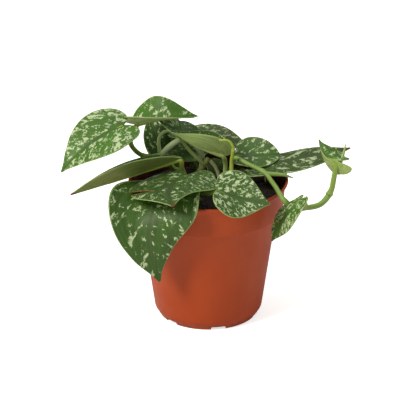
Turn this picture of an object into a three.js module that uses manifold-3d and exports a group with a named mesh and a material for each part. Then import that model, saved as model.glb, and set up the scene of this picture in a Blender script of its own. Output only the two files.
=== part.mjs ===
// A satin pothos in a plastic nursery pot. Millimetres, +Z up, the pot's axis on Z and its foot on Z = 0.
// The pot is turned, the stems and petioles are swept tubes, and each leaf blade is a thin bent plate.
import * as THREE from 'three';
import { mergeVertices } from 'three/addons/utils/BufferGeometryUtils.js';
import Module from 'manifold-3d';

const wasm = await Module();
wasm.setup();

// ---- driving dimensions ----
const clearance = 0.3; // between pieces that touch

const potHeight = 93.8;
const lipRadius = 52;
const lipHeight = 5; // the flared edge at the top of the band
const lipRoll = 0.6; // how far the lip is rounded over
const bandTopRadius = lipRadius - 2.2;
const bandBottomRadius = bandTopRadius - 1.1;
const bandHeight = 20.8; // the wider collar under the lip, lip included
const bodyTopRadius = bandBottomRadius - 3.6;
const bodyBaseRadius = bodyTopRadius - 10.1;
const chamferHeight = 5;
const footRadius = bodyBaseRadius - 2.6;
const footWidth = 2.4;
const footDepth = 3; // how far the floor stands above the foot
const padRadius = 6; // flat moulding pad in the middle of the floor
const potWall = 1.3;
const floorRise = 1; // how much the floor rises to the wall
const potFacets = 60;

const drainCount = 6;
const drainTurn = 12; // degrees from the front to the first notch
const notchWidth = 10;
const notchHeight = 2.3;
const drainHoleRadius = 3.5;
const drainHoleInset = 8; // from the foot's outside to the middle of a hole
const cutterReach = 4; // how far the notch and hole cutters pass beyond the plastic

const soilDrop = 10; // from the lip down to the potting mix
const bladeThickness = 0.8;
const petioleRadius = 1.5;
const vineRadius = 1.9;
const tubeRings = 10;
const tubeSides = 8;

const bladeRows = 10;
const bladeColumns = 6;
const notchCurve = 1.5; // how the lobes sweep back on both sides of the petiole
const twistCentre = 0.3; // the share of the length round which a blade twists

// The plant's points are laid out on a pot of this size, and move with the rim of the pot as it is. Inside
// the heart's radius the plant spreads evenly, and outside it every point keeps its distance from the rim.
const layout = { potHeight: 93.8, lipRadius: 52, heart: 30 };

// Blade outlines as shares of the length and of half the width, from the notch round one side to the tip.
const bladeOutlines = {
  heart: [[-0.06, 0.08], [-0.13, 0.3], [-0.08, 0.66], [0.1, 0.93], [0.32, 1], [0.56, 0.8], [0.78, 0.42],
  [0.92, 0.14], [1, 0.02]],
  round: [[-0.05, 0.08], [-0.12, 0.36], [-0.04, 0.76], [0.18, 1], [0.45, 0.99], [0.7, 0.78], [0.88, 0.45],
  [0.97, 0.16], [1, 0.02]],
  lance: [[0, 0.05], [0.07, 0.36], [0.2, 0.78], [0.4, 1], [0.6, 0.88], [0.8, 0.5], [0.93, 0.17], [1, 0.02]],
};

// Stems: the middle line of each, from inside the potting mix outwards.
const stems = {
  vine_left: [
    [-4, 20, 78], [-4, 16, 95], [-5, 13, 106], [-10, 11, 114], [-18, 9, 117], [-25, 8, 113], [-31, 8, 107],
    [-37, 8, 104],
  ],
  vine_right: [
    [17, 12, 78], [15, 8, 97], [17, 4, 106.5], [26, -2, 104.5], [37, -9, 101], [40.5, -14, 98], [43.5, -24, 97.3],
    [48.8, -33, 92], [56, -26, 84], [61, -23, 83], [66, -20, 82], [72, -17, 82.5], [76, -13, 84.5], [78, -12, 87],
  ],
  stem_centre: [[-7, 0, 78], [-7, 4, 95], [-3, 7, 100], [0, 11, 103]],
  stem_back: [[-6, 30, 78], [-7, 30, 86], [-10, 32, 92], [-14, 32, 94]],
};

// Leaves. base is where the petiole meets the blade, and face is the way the upper side looks: degrees round
// from the front and degrees up. fold and curl bend the left and right halves, bow arches the midrib, sway
// bends it sideways and lean moves the arch along it. lobe lengthens the lobes beside the petiole, left and right.
// path is the middle line of the petiole, from what it grows out of to the blade.
const leaves = {
  left_high: {
    base: [-54, -11, 135.3], tip: [-94, -29, 110.3], width: 39, face: [-24, 53], fold: [15, 9],
    curl: [-10, -9], bow: 6, lobe: 0.8,
    path: [[-36, 8, 104], [-39, 8, 105], [-44, 6, 108], [-49, 1, 115], [-52, -7, 126]],
  },
  top_folded: {
    base: [-47, 4, 129.8], tip: [-7, 11, 132.8], width: 36, face: [-3, 60], fold: [8, 60],
    curl: [10, 0], bow: 6, twist: 30, sway: -4, lobe: 0.6,
    path: [[-33, 8, 106], [-38, 11, 104.5], [-45, 11, 106.5], [-50, 8, 114], [-50, 6, 122]],
  },
  left_long: {
    outline: 'lance',
    base: [-17, -8, 111], tip: [-88, -35, 97], width: 39, face: [1, 114], fold: [39, 33],
    curl: [-26, -10], bow: -1, twist: 15, sway: -6,
    path: [[-12, 4, 78], [-15, 0, 95], [-17, -5, 103]],
  },
  front_drooping: {
    base: [-24, -24, 98.5], tip: [-31, -49.5, 42.5], width: 60, face: [-31, 31], fold: [1, -5],
    curl: [-3, 56], bow: 21.5, lean: -4.3,
    twist: -56, sway: -0.8, lobe: [0.3, 1.3],
    path: [[-16, -4, 78], [-18, -10, 90], [-21, -18, 95.5]],
  },
  front_rim: {
    base: [-15, -21, 104.6], tip: [-22, -71, 104.6], width: 60, face: [-24, 68], fold: [20, 6],
    curl: [-50, -28], bow: 1, twist: -6, sway: -6,
    path: [[-12, -2, 78], [-13, -10, 93.6], [-14, -16, 99.6]],
  },
  centre_folded: {
    base: [10, 4, 108], tip: [-23, -8, 129], width: 27, face: [0, 88], fold: [66, 60], bow: -2,
    twist: 18, lobe: 0.6,
    path: [[12, 9, 78], [11, 8, 93], [11, 6, 102]],
  },
  small_centre: {
    base: [-18, 9, 124.4], tip: [-32, -1, 134.4], width: 20, face: [0, 60], fold: [10, 8],
    curl: [2, 7], twist: 10, sway: 2,
    path: [[-3, 6, 100.4], [-6, 5, 104.4], [-13, 5, 112.4], [-18, 6, 119.4]],
  },
  back_brown: {
    base: [-14, 35, 105], tip: [27, 38, 99], width: 30, face: [0, 68], fold: [1, 8], curl: [-16, 0],
    bow: 4, twist: 10, sway: 3,
    path: [[-10, 32, 89], [-12, 34, 94], [-15, 35, 101]],
  },
  back_top: {
    base: [-24, 20, 119], tip: [-2, 24, 115], width: 18, face: [0, 65], fold: [0, 8], curl: [-10, 0],
    bow: 2, twist: 8,
    path: [[-31, 8, 107], [-32, 10, 111], [-32, 12, 117], [-29, 15, 120]],
  },
  back_left: {
    base: [-26, 22.5, 100], tip: [-38, 32.5, 126], width: 23, face: [8, 39], fold: [17, 8],
    curl: [10, 0], bow: 2, twist: -10, sway: 3,
    path: [[-20, 20, 78], [-23, 22.5, 89], [-25, 22.5, 95]],
  },
  back_middle: {
    base: [-23, 19, 105.3], tip: [0, 24, 102.3], width: 18, face: [0, 54], fold: [8, 12],
    curl: [0, 5], bow: 2, twist: 6, sway: -2,
    path: [[-14, 14, 78], [-19, 19, 91.3], [-22, 19, 99.3]],
  },
  right_round: {
    outline: 'round',
    base: [18, 20, 101.4], tip: [47, 17, 103.4], width: 27, face: [19, 56], fold: [8, 16],
    curl: [1, 18], bow: 1, twist: 25, sway: -1, lobe: 0.3,
    path: [[12, 18, 78], [14, 23, 89.4], [17, 21, 96.4]],
  },
  right_long: {
    base: [27, 11, 97.1], tip: [93, 22, 106.1], width: 38, face: [-1, 76], fold: [-6, 3],
    curl: [-30, 20], bow: 1, twist: 6, sway: -2, lobe: 0.5,
    path: [[23, 15, 78], [23, 14, 87.1], [25, 12, 93.1]],
  },
  inner_right: {
    base: [21, 9, 91.5], tip: [20, 12, 98.5], width: 9, face: [10, 30], fold: [5, 5],
    path: [[23, 7, 78], [22, 8, 87]],
  },
  inner_middle: {
    base: [7, 15, 93], tip: [-2, 15, 101], width: 12, face: [0, 40], fold: [8, 8],
    path: [[6, 16, 78], [7, 16, 88]],
  },
  vine_tip: {
    base: [83, -8, 109], tip: [72, 9, 117.3], width: 24, face: [22, 57], fold: [-84, 13], curl: [-42, -44],
    bow: -3.5, twist: -33, sway: 2, lobe: [3.4, 1.7],
    path: [[78, -12, 87], [80, -10, 91], [81, -8.5, 96], [82, -8, 102]],
  },
  vine_hanging: {
    base: [59, -37, 94.7], tip: [41, -37, 65.7], width: 21.6, face: [-41, 43], fold: [5, -10],
    curl: [15, -23], bow: 4.7, twist: -40, sway: 1.5, lobe: 0.75,
    path: [[61, -23, 83], [62, -28, 86], [62, -33, 90]],
  },
  front_heart: {
    base: [6, -47, 104.7], tip: [39, -51, 97.7], width: 36, face: [16, 54], fold: [8, 16],
    curl: [4, -10], bow: -2, twist: 25, lobe: 0.6,
    path: [[-2, -6, 78], [-9, -20, 89.7], [-6, -32, 96.7], [0, -41, 100.7]],
  },
};

// Young growth, aerial roots and spent sheaths: each narrows from its thick end to its point.
const shoots = {
  shoot_young: {
    start: 1.4, end: 0.5,
    path: [[14, 0, 78], [15, -2, 96], [15, -2, 106], [15.5, -3, 111], [16, -4, 117], [13, -5, 122],
    [7, -6, 123]],
  },
  shoot_node: { start: 1.6, end: 0.3,
  path: [[37, -9, 101], [42, -9, 100.5], [48, -9, 100], [52, -8, 98.5], [55, -7, 97]] },
  shoot_vine_tip: { start: 1.5, end: 0.3, path: [[81, -7, 98], [84, -3, 102], [87, 0, 109], [89, 2, 117]] },
  bud_left: { start: 1, end: 0.7,
  path: [[-16, -4, 102], [-20, -6, 103], [-22, -7, 104.5], [-23, -8, 107]] },
  aerial_root: { start: 0.8, end: 0.4, path: [[37, -9, 100], [37, -10, 95.5]] },
  sheath_old: { start: 1.6, end: 1, path: [[1, 10, 102], [4, 9, 99], [6, 8, 95], [7, 6, 91]] },
};

const colours = {
  pot: '#a84826', soil: '#1d130d', stem: '#6f9a3e', youngStem: '#b9cf57', blade: '#3c6a2c',
};

// ---- helpers ----

// A point of the plant, moved with the pot's rim.
function vector([x, y, z]) {
  const outwards = 1 + (lipRadius - layout.lipRadius) / Math.max(layout.heart, Math.hypot(x, y));
  return new THREE.Vector3(x * outwards, y * outwards, z + potHeight - layout.potHeight);
}

// A closed solid from a three.js geometry, its seams merged and its empty triangles dropped.
function solidOf(geometry) {
  const plain = geometry.clone();
  plain.deleteAttribute('normal');
  plain.deleteAttribute('uv');
  const merged = mergeVertices(plain, 1e-4);
  const corners = merged.index.array;
  const kept = [];
  for (let i = 0; i < corners.length; i += 3) {
    const [a, b, c] = [corners[i], corners[i + 1], corners[i + 2]];
    if (a !== b && b !== c && c !== a) kept.push(a, b, c);
  }
  return new wasm.Manifold(new wasm.Mesh({
    numProp: 3,
    vertProperties: new Float32Array(merged.attributes.position.array),
    triVerts: new Uint32Array(kept),
  }));
}

// The largest piece of a solid, as a geometry with its own normals.
function geometryOf(solid) {
  const [largest] = solid.decompose().sort((a, b) => b.volume() - a.volume());
  const mesh = largest.getMesh();
  const geometry = new THREE.BufferGeometry();
  geometry.setAttribute('position', new THREE.BufferAttribute(mesh.vertProperties, 3));
  geometry.setIndex(new THREE.BufferAttribute(mesh.triVerts, 1));
  geometry.computeVertexNormals();
  return geometry;
}

function addNode(group, name, solid, colour, roughness) {
  const material = new THREE.MeshStandardMaterial({ color: colour, roughness, metalness: 0 });
  const mesh = new THREE.Mesh(geometryOf(solid), material);
  mesh.name = name;
  group.add(mesh);
}

function turned(profile, facets) {
  const geometry = new THREE.LatheGeometry(profile.map(([r, z]) => new THREE.Vector2(r, z)), facets);
  return solidOf(geometry.rotateX(Math.PI / 2));
}

function tube(points, radius, steps) {
  const section = new THREE.Shape().absarc(0, 0, radius, 0, 2 * Math.PI);
  const extrudePath = new THREE.CatmullRomCurve3(points);
  return solidOf(new THREE.ExtrudeGeometry(section, {
    steps, curveSegments: tubeSides / 2, bevelEnabled: false, extrudePath,
  }));
}

// The same points with both ends a little further out.
function lengthened(points, by) {
  const beyond = (end, inner) => end.clone().add(end.clone().sub(inner).setLength(by));
  return [beyond(points[0], points[1]), ...points.slice(1, -1), beyond(points.at(-1), points.at(-2))];
}

// A tube that narrows from start to end radius.
function taperedTube(points, start, end, rings) {
  const curve = new THREE.CatmullRomCurve3(points);
  const frames = curve.computeFrenetFrames(rings);
  const geometry = new THREE.CylinderGeometry(1, 1, 1, tubeSides, rings);
  const place = geometry.attributes.position;
  for (let i = 0; i < place.count; i++) {
    const along = 0.5 - place.getY(i);
    const ring = Math.round(along * rings);
    const radius = THREE.MathUtils.lerp(start, end, along);
    const point = curve.getPointAt(ring / rings)
      .addScaledVector(frames.normals[ring], radius * place.getX(i))
      .addScaledVector(frames.binormals[ring], radius * place.getZ(i));
    place.setXYZ(i, point.x, point.y, point.z);
  }
  return solidOf(geometry);
}

// ---- the pot and its filling ----

const bandZ = potHeight - bandHeight;
const lipZ = potHeight - lipHeight;
const ledgeZ = bandZ + potWall; // inside, where the wall steps out into the band
const floorTop = footDepth + potWall;
const soilTop = potHeight - soilDrop;

// Radius of the pot's inside at a height between its floor and its lip.
function insideRadius(z) {
  const stations = [[floorTop, bodyBaseRadius], [bandZ, bodyTopRadius], [ledgeZ, bandBottomRadius],
  [lipZ, bandTopRadius]];
  const upper = Math.max(1, stations.findIndex(([height]) => height >= z));
  const [[z0, r0], [z1, r1]] = [stations[upper - 1], stations[upper]];
  return THREE.MathUtils.mapLinear(z, z0, z1, r0, r1) - potWall;
}

function nurseryPot() {
  const footInside = footRadius - footWidth;
  let pot = turned([
    [0, 0], [padRadius, 0], [padRadius, footDepth], [footInside, footDepth], [footInside, 0],
    [footRadius, 0],
    [bodyBaseRadius, chamferHeight], [bodyTopRadius, bandZ], [bandBottomRadius, bandZ],
    [bandTopRadius, lipZ],
    [lipRadius - lipRoll, potHeight - lipHeight / 2], [lipRadius, potHeight - 2 * lipRoll],
    [lipRadius - lipRoll, potHeight], [lipRadius - potWall, potHeight],
    [lipRadius - potWall - lipRoll, potHeight - lipHeight / 2], [insideRadius(lipZ), lipZ],
    [insideRadius(ledgeZ), ledgeZ], [insideRadius(bandZ), ledgeZ],
    [insideRadius(floorTop), floorTop + floorRise], [0, floorTop],
  ], potFacets);
  for (let i = 0; i < drainCount; i++) {
    const turn = THREE.MathUtils.degToRad(drainTurn - 90 + i * 360 / drainCount);
    const notch = new THREE.BoxGeometry(2 * (footWidth + cutterReach), notchWidth, 2 * notchHeight)
      .translate(footRadius, 0, 0).rotateZ(turn);
    const holeDepth = 2 * (floorTop + cutterReach);
    const hole = new THREE.CylinderGeometry(drainHoleRadius, drainHoleRadius, holeDepth, 2 * tubeSides)
      .rotateX(Math.PI / 2).translate(footRadius - drainHoleInset, 0, 0).rotateZ(turn);
    pot = pot.subtract(solidOf(notch)).subtract(solidOf(hole));
  }
  return pot;
}

function pottingMix() {
  const side = (z) => [insideRadius(z) - clearance, z];
  return turned([
    [0, floorTop + clearance], [insideRadius(floorTop) - clearance, floorTop + floorRise + clearance],
    [insideRadius(bandZ) - clearance, ledgeZ + clearance], side(ledgeZ + clearance), side(soilTop),
    [0, soilTop],
  ], potFacets);
}

// ---- leaves ----

// The bent sheet of a leaf: returns a function from share of length and millimetres left of the midrib
// to the point there and the direction of the upper side.
function bladeSheet({ base, tip, width, face, ...bends }) {
  const { fold = [0, 0], curl = [0, 0], bow = 0, lean = 0, twist = 0, sway = 0 } = bends;
  const start = vector(base);
  const chord = vector(tip).sub(start);
  const [round, up] = face.map(THREE.MathUtils.degToRad);
  const upper = new THREE.Vector3(Math.sin(round), -Math.cos(round), 0).multiplyScalar(Math.cos(up));
  upper.z = Math.sin(up);
  const forward = chord.clone().normalize();
  upper.addScaledVector(forward, -upper.dot(forward)).normalize();
  const left = upper.clone().cross(forward);
  const arch = upper.clone().multiplyScalar(bow).addScaledVector(left, sway).addScaledVector(forward, lean);
  const half = width / 2;

  return (along, across) => {
    const rise = along < 0 ? 4 * along : 4 * along * (1 - along);
    const slope = 4 * (1 - 2 * Math.max(along, 0));
    const point = start.clone().addScaledVector(chord, along).addScaledVector(arch, rise);
    const tangent = chord.clone().addScaledVector(arch, slope).normalize();
    const normal = upper.clone().addScaledVector(tangent, -upper.dot(tangent)).normalize();
    const twisted = THREE.MathUtils.clamp(along, twistCentre - 0.5, 1) - twistCentre;
    normal.applyAxisAngle(tangent, THREE.MathUtils.degToRad(twist) * twisted);
    const side = normal.clone().cross(tangent);
    const hand = across < 0 ? -1 : 1;
    const which = across < 0 ? 1 : 0;
    const start0 = THREE.MathUtils.degToRad(fold[which]);
    const bend = THREE.MathUtils.degToRad(curl[which]) + 1e-5;
    const angle = start0 + bend * Math.abs(across) / half;
    point.addScaledVector(side, hand * half / bend * (Math.sin(angle) - Math.sin(start0)));
    point.addScaledVector(normal, -half / bend * (Math.cos(angle) - Math.cos(start0)));
    if (across !== 0) normal.multiplyScalar(Math.cos(angle)).addScaledVector(side, -hand * Math.sin(angle));
    return { point, out: normal };
  };
}

// The blade as a closed plate. grow thickens and widens it, for cutting room for it out of a petiole.
function leafBlade(leaf, grow = 0) {
  const sheet = bladeSheet(leaf);
  const half = leaf.width / 2 + grow;
  const thickness = bladeThickness + 2 * grow;
  const length = vector(leaf.base).distanceTo(vector(leaf.tip));
  const lobes = [leaf.lobe ?? 1].flat();
  const edges = bladeOutlines[leaf.outline ?? 'heart'].map((at) => new THREE.Vector2(...at));
  const outline = new THREE.SplineCurve(edges);
  const geometry = new THREE.BoxGeometry(1, 2, 1, bladeRows, bladeColumns, 1);
  const place = geometry.attributes.position;
  for (let i = 0; i < place.count; i++) {
    const share = place.getX(i) + 0.5;
    const side = place.getY(i);
    const edge = outline.getPoint(share);
    const lobe = side > 0 ? lobes[0] : lobes.at(-1);
    const edgeAlong = edge.x < 0 ? edge.x * lobe : edge.x;
    const reach = (share - 0.5) * 2 * grow / length;
    const along = share + reach + (edgeAlong - share) * Math.abs(side) ** notchCurve;
    const { point, out } = sheet(along, side * edge.y * half);
    point.addScaledVector(out, place.getZ(i) * thickness);
    place.setXYZ(i, point.x, point.y, point.z);
  }
  return solidOf(geometry);
}

// ---- assembly ----

const plant = new THREE.Group();
addNode(plant, 'nursery_pot', nurseryPot(), colours.pot, 0.55);
addNode(plant, 'potting_mix', pottingMix(), colours.soil, 1);

// Everything that grows starts clearance above the potting mix.
const soilRadius = insideRadius(soilTop);
const stemStart = soilTop + clearance;
const buried = turned([[0, 0], [soilRadius, 0], [soilRadius, stemStart], [0, stemStart]], potFacets);

// Each piece of the plant is cut back from the ones before it, so that none runs into another.
const roomTaken = [buried];

function addGrown(name, solid, grownSolid, colour, roughness) {
  const cut = roomTaken.reduce((rest, taken) => rest.subtract(taken), solid);
  roomTaken.push(grownSolid);
  addNode(plant, name, cut, colour, roughness);
}

function addTube(name, path, radius, steps) {
  const points = path.map(vector);
  const wider = tube(lengthened(points, clearance), radius + clearance, steps);
  addGrown(name, tube(points, radius, steps), wider, colours.stem, 0.5);
}

for (const [name, path] of Object.entries(stems)) {
  addTube(name, path, vineRadius, 3 * path.length);
}
for (const [name, leaf] of Object.entries(leaves)) {
  addGrown(`leaf_${name}`, leafBlade(leaf), leafBlade(leaf, clearance), colours.blade, 0.45);
}
for (const [name, leaf] of Object.entries(leaves)) {
  addTube(`petiole_${name}`, [...leaf.path, leaf.base], petioleRadius, tubeRings);
}
for (const [name, { path, start, end }] of Object.entries(shoots)) {
  const points = path.map(vector);
  const wider = taperedTube(lengthened(points, clearance), start + clearance, end + clearance, tubeRings);
  addGrown(name, taperedTube(points, start, end, tubeRings), wider, colours.youngStem, 0.5);
}

export default plant;
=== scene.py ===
import math
import random

import bmesh
import bpy
from mathutils import Matrix, Vector, noise


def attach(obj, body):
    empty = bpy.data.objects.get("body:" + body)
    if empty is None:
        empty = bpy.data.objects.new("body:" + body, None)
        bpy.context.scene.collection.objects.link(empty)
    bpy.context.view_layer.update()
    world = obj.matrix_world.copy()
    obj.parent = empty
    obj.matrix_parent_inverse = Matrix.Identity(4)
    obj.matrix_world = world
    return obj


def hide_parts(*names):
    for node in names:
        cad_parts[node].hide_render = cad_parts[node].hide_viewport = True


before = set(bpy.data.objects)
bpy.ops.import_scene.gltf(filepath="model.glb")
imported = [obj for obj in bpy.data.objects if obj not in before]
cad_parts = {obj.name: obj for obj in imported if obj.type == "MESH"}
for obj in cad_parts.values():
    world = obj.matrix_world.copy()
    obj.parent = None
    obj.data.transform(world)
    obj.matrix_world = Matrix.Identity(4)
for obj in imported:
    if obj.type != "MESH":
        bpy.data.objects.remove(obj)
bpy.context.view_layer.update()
mm = 0.001
print("solids loaded", len(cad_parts))


def tint(code):
    # a web colour as the linear values that shaders use
    parts = [int(code[i:i + 2], 16) / 255 for i in (1, 3, 5)]
    return tuple(p / 12.92 if p < 0.04045 else ((p + 0.055) / 1.055) ** 2.4 for p in parts) + (1,)


def finishPiece(bm, name, materials, nodes=()):
    # makes the bmesh a smooth piece on the root body, which stands for its nodes
    mesh = bpy.data.meshes.new(name)
    bm.to_mesh(mesh)
    bm.free()
    piece = bpy.data.objects.new(name, mesh)
    bpy.context.collection.objects.link(piece)
    for material in materials:
        mesh.materials.append(material)
    mesh.shade_smooth()
    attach(piece, "root")
    if nodes:
        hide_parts(*nodes)
    return piece


def newNode(tree, kind, links=None, **settings):
    # links holds, for each input, a socket to join or a value to set
    node = tree.nodes.new(kind)
    for key, value in settings.items():
        setattr(node, key, value)
    for key, value in (links or {}).items():
        if isinstance(value, bpy.types.NodeSocket):
            tree.links.new(value, node.inputs[key])
        else:
            node.inputs[key].default_value = value
    return node


def maths(tree, operation, *values, clamp=False):
    node = newNode(tree, "ShaderNodeMath", dict(enumerate(values)), operation=operation, use_clamp=clamp)
    return node.outputs[0]


def times(tree, first, second, clamp=False):
    return maths(tree, "MULTIPLY", first, second, clamp=clamp)


def plus(tree, first, second):
    return maths(tree, "ADD", first, second)


def minus(tree, first, second):
    return maths(tree, "SUBTRACT", first, second)


def between(tree, value, low, high, toLow=0.0, toHigh=1.0):
    # fades from toLow to toHigh as value goes from low to high
    links = {"Value": value, "From Min": low, "From Max": high, "To Min": toLow, "To Max": toHigh}
    return newNode(tree, "ShaderNodeMapRange", links, interpolation_type="SMOOTHSTEP").outputs[0]


def blended(tree, share, first, second, way="MIX"):
    links = {0: share, 6: first, 7: second}
    return newNode(tree, "ShaderNodeMix", links, data_type="RGBA", blend_type=way).outputs[2]


def laid(tree, colour, code, mask, amount=1.0, way="MIX"):
    # lays a web colour over the colour where the mask is
    share = mask if amount == 1.0 else times(tree, mask, amount)
    return blended(tree, share, colour, tint(code), way)


def noiseOf(tree, vector, scale, detail=2.0, roughness=0.5, distortion=0.0):
    links = {"Vector": vector, "Scale": scale, "Detail": detail, "Roughness": roughness}
    links["Distortion"] = distortion
    return newNode(tree, "ShaderNodeTexNoise", links).outputs["Fac"]


def splitVector(tree, vector):
    return newNode(tree, "ShaderNodeSeparateXYZ", {0: vector}).outputs


def joinVector(tree, x, y, z):
    return newNode(tree, "ShaderNodeCombineXYZ", {0: x, 1: y, 2: z}).outputs[0]


def attribute(tree, name):
    return newNode(tree, "ShaderNodeAttribute", attribute_name=name).outputs["Vector"]


def objectPlace(tree):
    return newNode(tree, "ShaderNodeTexCoord").outputs["Object"]


def newGroup(name, inputs, outputs):
    # an input with no value is a vector, any other input and every output a number
    group = bpy.data.node_groups.new(name, "ShaderNodeTree")
    for label, value in inputs.items():
        kind = "NodeSocketVector" if value is None else "NodeSocketFloat"
        socket = group.interface.new_socket(label, in_out="INPUT", socket_type=kind)
        if value is not None:
            socket.default_value = value
    for label in outputs:
        group.interface.new_socket(label, in_out="OUTPUT", socket_type="NodeSocketFloat")
    given = group.nodes.new("NodeGroupInput").outputs
    return group, given, group.nodes.new("NodeGroupOutput").inputs


def placeGroup(tree, group, links):
    return newNode(tree, "ShaderNodeGroup", links, node_tree=group).outputs


def newMaterial(name, **constants):
    material = bpy.data.materials.new(name)
    material.use_nodes = True
    tree = material.node_tree
    shader = tree.nodes["Principled BSDF"]
    for key, value in constants.items():
        shader.inputs[key.replace("_", " ")].default_value = value
    return material, tree, shader


def addBump(tree, shader, height, strength, distance):
    bump = newNode(tree, "ShaderNodeBump", {"Height": height, "Strength": strength, "Distance": distance})
    tree.links.new(bump.outputs[0], shader.inputs["Normal"])


def makeMottle():
    # soft cloudy variation with a fine grain
    inputs = {"Vector": None, "Cloud Scale": 60, "Grain Scale": 900}
    group, given, put = newGroup("fineMottle", inputs, ["Cloud", "Grain"])
    cloud = noiseOf(group, given["Vector"], given["Cloud Scale"], 3, 0.55)
    grain = noiseOf(group, given["Vector"], given["Grain Scale"], 2, 0.6)
    group.links.new(between(group, cloud, 0.3, 0.7), put["Cloud"])
    group.links.new(grain, put["Grain"])
    return group


# scales of the coarse and fine marks and the share of the coarse ones, the level at which they
# start and how the amount moves it, and how near the midrib they fade, in centimetres
splashRun = {
    "coarse": 3.4, "fine": 10, "coarseShare": 0.74, "start": 0.61, "perAmount": -0.27,
    "midribFade": (0.08, 0.2),
}


def makeSplash():
    # silver splashes, drawn out along the side veins; Flat holds centimetres along and left, and a seed
    inputs = {"Flat": None, "Amount": 0.5, "Size": 1}
    group, given, put = newGroup("silverSplash", inputs, ["Splash", "Halo"])
    along, left, seed = splitVector(group, given["Flat"])
    aside = maths(group, "ABSOLUTE", left)
    hand = times(group, maths(group, "SIGN", left), 3.7)  # the two halves differ
    withVein = plus(group, times(group, along, 0.46), times(group, aside, 0.5))
    acrossVein = minus(group, times(group, aside, 0.8), times(group, along, 0.75))
    place = joinVector(group, withVein, acrossVein, plus(group, seed, hand))
    sizing = {0: place, 3: given["Size"]}
    sized = newNode(group, "ShaderNodeVectorMath", sizing, operation="SCALE").outputs[0]
    coarse = noiseOf(group, sized, splashRun["coarse"], 5, 0.66, 0.5)
    fine = noiseOf(group, sized, splashRun["fine"], 3, 0.6, 0.3)
    share = splashRun["coarseShare"]
    level = plus(group, times(group, coarse, share), times(group, fine, 1 - share))
    limit = maths(group, "MULTIPLY_ADD", given["Amount"], splashRun["perAmount"], splashRun["start"])
    midribFree = between(group, aside, *splashRun["midribFade"], -0.1, 0.0)
    over = minus(group, plus(group, level, midribFree), limit)
    group.links.new(between(group, over, 0.0, 0.022), put["Splash"])
    group.links.new(between(group, over, -0.05, 0.03), put["Halo"])
    return group


# side veins along a half blade, and how far and how roundly they sweep towards the tip
veinRun = {"count": 9, "sweep": 0.34, "curve": 1.3}


def makeVeins():
    # Blade holds the share of the length, the share of the half width and how dry the tip is
    outputs = ["Side Veins", "Midrib", "Edge", "Dry", "Streaks", "Band"]
    group, given, put = newGroup("leafVeins", {"Blade": None, "Wander": None}, outputs)
    share, side, dryness = splitVector(group, given["Blade"])
    aside = maths(group, "ABSOLUTE", side)
    wobble = times(group, noiseOf(group, given["Wander"], 90, 2), 0.1)
    rounded = maths(group, "POWER", aside, veinRun["curve"])
    swept = minus(group, share, times(group, rounded, veinRun["sweep"]))
    ridge = maths(group, "PINGPONG", times(group, plus(group, swept, wobble), veinRun["count"]), 0.5)
    group.links.new(between(group, ridge, 0.0, 0.16, 1.0, 0.0), put["Side Veins"])
    group.links.new(between(group, aside, 0.0, 0.05, 1.0, 0.0), put["Midrib"])
    group.links.new(between(group, aside, 0.03, 0.16, 1.0, 0.0), put["Band"])
    endward = maths(group, "MAXIMUM", aside, between(group, share, 0.96, 1.0, 0.8, 1.0))
    group.links.new(between(group, endward, 0.955, 0.99), put["Edge"])
    ragged = plus(group, share, times(group, noiseOf(group, given["Wander"], 260, 2), 0.1))
    dried = times(group, between(group, ragged, 0.965, 1.02), dryness, clamp=True)
    group.links.new(dried, put["Dry"])
    lengthwise = joinVector(group, times(group, share, 1.6), times(group, side, 7), dryness)
    group.links.new(between(group, noiseOf(group, lengthwise, 1.5, 3, 0.55), 0.35, 0.65), put["Streaks"])
    return group


mottle = makeMottle()
splash = makeSplash()
veins = makeVeins()


leafLook = {
    # upper side
    "dark": "#32461c", "fresh": "#437016", "cloud": "#2c3f17", "streak": "#4c7a22", "band": "#4a5438",
    "vein": "#5f8340", "midrib": "#34482a", "halo": "#6f9555", "silver": "#c6d4a8",
    "silverGrain": "#93ab78", "stain": "#5d4632", "torn": "#7d5226", "dry": "#6b3f20",
    # margin
    "edge": "#9fb670", "edgeCloud": "#86a254", "edgeTorn": "#6b4a24",
    # lower side
    "under": "#b6cc80", "underOlive": "#6a742e", "underVein": "#86a05c", "underCloud": "#5d7a38",
    "underMidrib": "#b7cc86",
    # relief in millimetres
    "relief": 0.25,
}


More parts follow.
